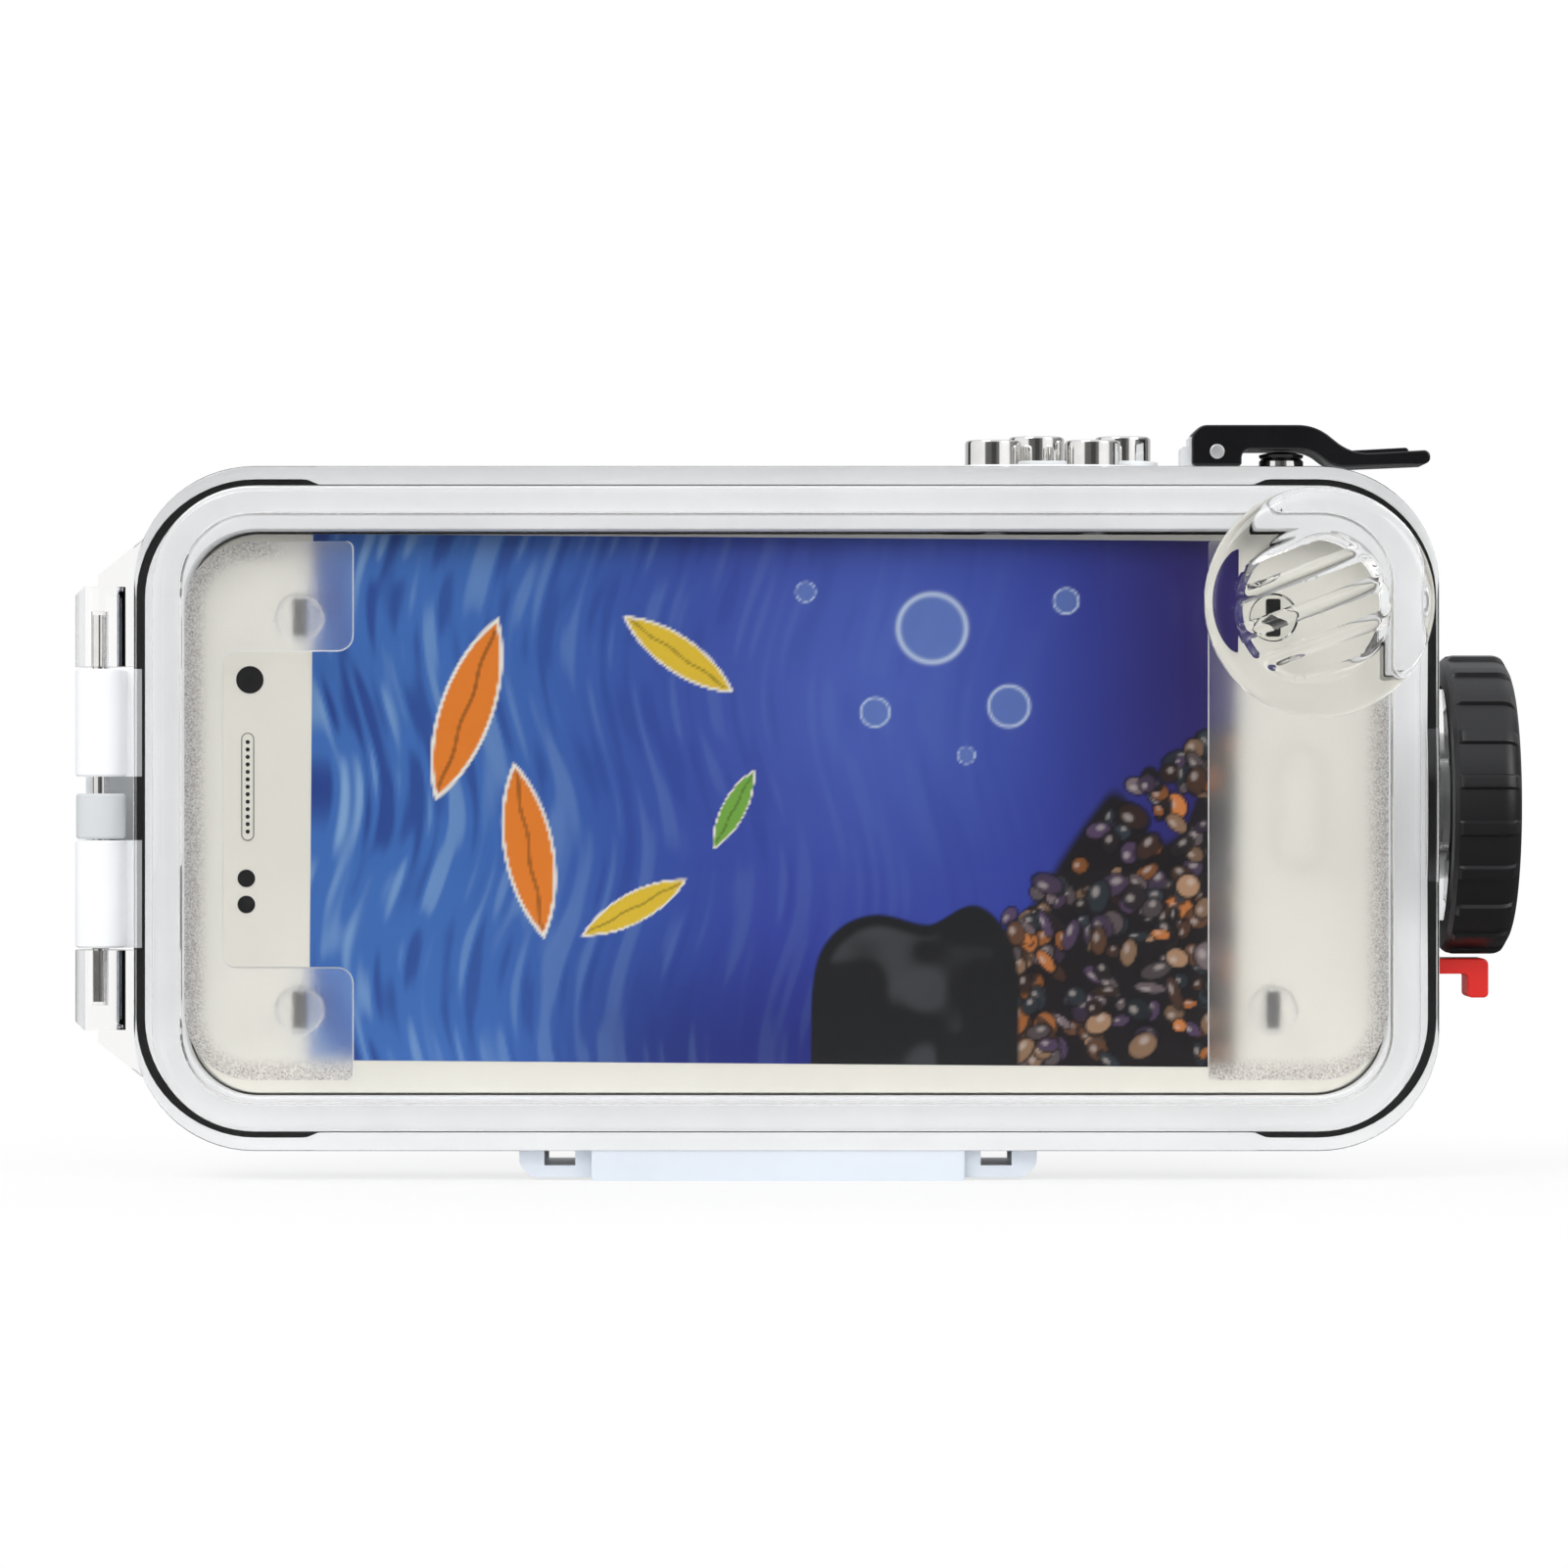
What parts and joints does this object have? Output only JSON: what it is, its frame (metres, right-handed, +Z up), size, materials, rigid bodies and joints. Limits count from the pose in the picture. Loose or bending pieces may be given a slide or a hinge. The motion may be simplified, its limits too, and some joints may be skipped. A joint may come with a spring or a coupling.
{
  "type": "waterproof phone case",
  "caption": "Diving case for a phone: clear hinged front on a white shell, with a knob latch, sprung buttons, a shutter lever, a camera window and a tripod foot.",
  "frame": {"origin": "mouth of the tripod thread, in the underside of the foot", "axes": "+X along the case towards the latch knob, +Y from the clear front to the back, +Z up towards the buttons"},
  "size_m": [0.2039, 0.0436, 0.1074],
  "materials": {
    "clear_cover": "clear polished polycarbonate, frosted inside at both ends",
    "white_shell": "smooth satin white",
    "black_plastic": "satin black with a fine moulded grain",
    "red_plastic": "satin red",
    "steel": "turned stainless steel",
    "seal_rubber": "soft black silicone rubber",
    "red_rubber": "soft red silicone rubber",
    "sleeve_grey": "smooth pale grey",
    "camera_glass": "clear polished glass",
    "tray_white": "smooth off-white",
    "board_green": "green lacquer",
    "card_print": "glossy printed card",
    "brass": "turned brass"
  },
  "bodies": {
    "shell": {"back_shell": "white_shell", "main_seal": "seal_rubber", "hinge_pin": "steel", "hinge_sleeve": "sleeve_grey", "knob_screw": "steel", "knob_washer": "steel", "lock_pin": "steel", "lock_spring": "steel", "lever_pin": "steel", "plunger_spring": "steel", "camera_block": "white_shell", "block_gasket": "seal_rubber", "camera_glass": "camera_glass", "glass_gasket": "seal_rubber", "camera_bezel": "black_plastic", "block_screws": "steel", "side_inserts": "red_plastic", "vacuum_valve": "seal_rubber", "phone_tray": "tray_white", "control_board": "board_green", "board_screws": "steel", "push_switches": "black_plastic", "coin_cell": "steel", "cell_cover": "tray_white", "display_card": "card_print", "tripod_insert": "brass", "button_spring_1": "steel", "button_spring_2": "steel", "button_spring_3": "steel", "button_spring_4": "steel"},
    "cover": {"front_cover": "clear_cover", "bumper_1": "seal_rubber", "bumper_2": "seal_rubber", "bumper_3": "seal_rubber", "bumper_4": "seal_rubber"},
    "knob": {"latch_knob": "black_plastic"},
    "lock": {"lock_slider": "red_plastic"},
    "lever": {"shutter_lever": "black_plastic"},
    "plunger": {"shutter_plunger": "steel", "plunger_cap": "black_plastic", "plunger_seal": "seal_rubber", "plunger_clip": "steel"},
    "cap_ring": {"cap_seal": "red_rubber"},
    "vacuum_cap": {"vacuum_cap": "black_plastic"},
    "push_1": {"button_1": "steel", "button_seal_1": "seal_rubber", "button_clip_1": "steel"},
    "push_2": {"button_2": "steel", "button_seal_2": "seal_rubber", "button_clip_2": "steel"},
    "push_3": {"button_3": "steel", "button_seal_3": "seal_rubber", "button_clip_3": "steel"},
    "push_4": {"button_4": "steel", "button_seal_4": "seal_rubber", "button_clip_4": "steel"}
  },
  "joints": [
    {"name": "cover_hinge", "type": "hinge", "parent": "shell", "child": "cover", "pos_m": [-0.097, -0.011, 0.05275], "axis": [0, 0, -1], "range_deg": [0, 160]},
    {"name": "knob_turn", "type": "hinge", "parent": "shell", "child": "knob", "pos_m": [0.0937, 0.001, 0.05325], "axis": [1, 0, 0], "range_deg": [0, 90]},
    {"name": "lock_slide", "type": "slide", "parent": "shell", "child": "lock", "axis": [0, 0, -1], "range_m": [0, 0.002], "stiffness_N_per_m": 150, "springref_m": -0.002, "deforming": ["lock_spring"]},
    {"name": "lever_pivot", "type": "hinge", "parent": "shell", "child": "lever", "pos_m": [0.0614, 0, 0.1036], "axis": [0, 1, 0], "range_deg": [0, 7]},
    {"name": "plunger_slide", "type": "slide", "parent": "shell", "child": "plunger", "axis": [0, 0, -1], "range_m": [0, 0.00116], "stiffness_N_per_m": 500, "springref_m": -0.001, "deforming": ["plunger_spring"]},
    {"name": "cap_lift", "type": "slide", "parent": "shell", "child": "cap_ring", "axis": [0, 1, 0], "range_m": [0, 0.00311]},
    {"name": "cap_turn", "type": "hinge", "parent": "cap_ring", "child": "vacuum_cap", "pos_m": [0.004, 0.012, 0.027], "axis": [0, 1, 0], "range_deg": [0, 540]},
    {"name": "button_press_1", "type": "slide", "parent": "shell", "child": "push_1", "axis": [0, 0, -1], "range_m": [0, 0.0012], "stiffness_N_per_m": 500, "springref_m": -0.001, "deforming": ["button_spring_1"]},
    {"name": "button_press_2", "type": "slide", "parent": "shell", "child": "push_2", "axis": [0, 0, -1], "range_m": [0, 0.0012], "stiffness_N_per_m": 500, "springref_m": -0.001, "deforming": ["button_spring_2"]},
    {"name": "button_press_3", "type": "slide", "parent": "shell", "child": "push_3", "axis": [0, 0, -1], "range_m": [0, 0.0012], "stiffness_N_per_m": 500, "springref_m": -0.001, "deforming": ["button_spring_3"]},
    {"name": "button_press_4", "type": "slide", "parent": "shell", "child": "push_4", "axis": [0, 0, -1], "range_m": [0, 0.0012], "stiffness_N_per_m": 500, "springref_m": -0.001, "deforming": ["button_spring_4"]}
  ],
  "couplings": [
    {"joint": "lever_pivot", "follows": "plunger_slide", "rad_per_m": 105.26},
    {"joint": "cap_turn", "follows": "cap_lift", "rad_per_m": 3030}
  ]
}
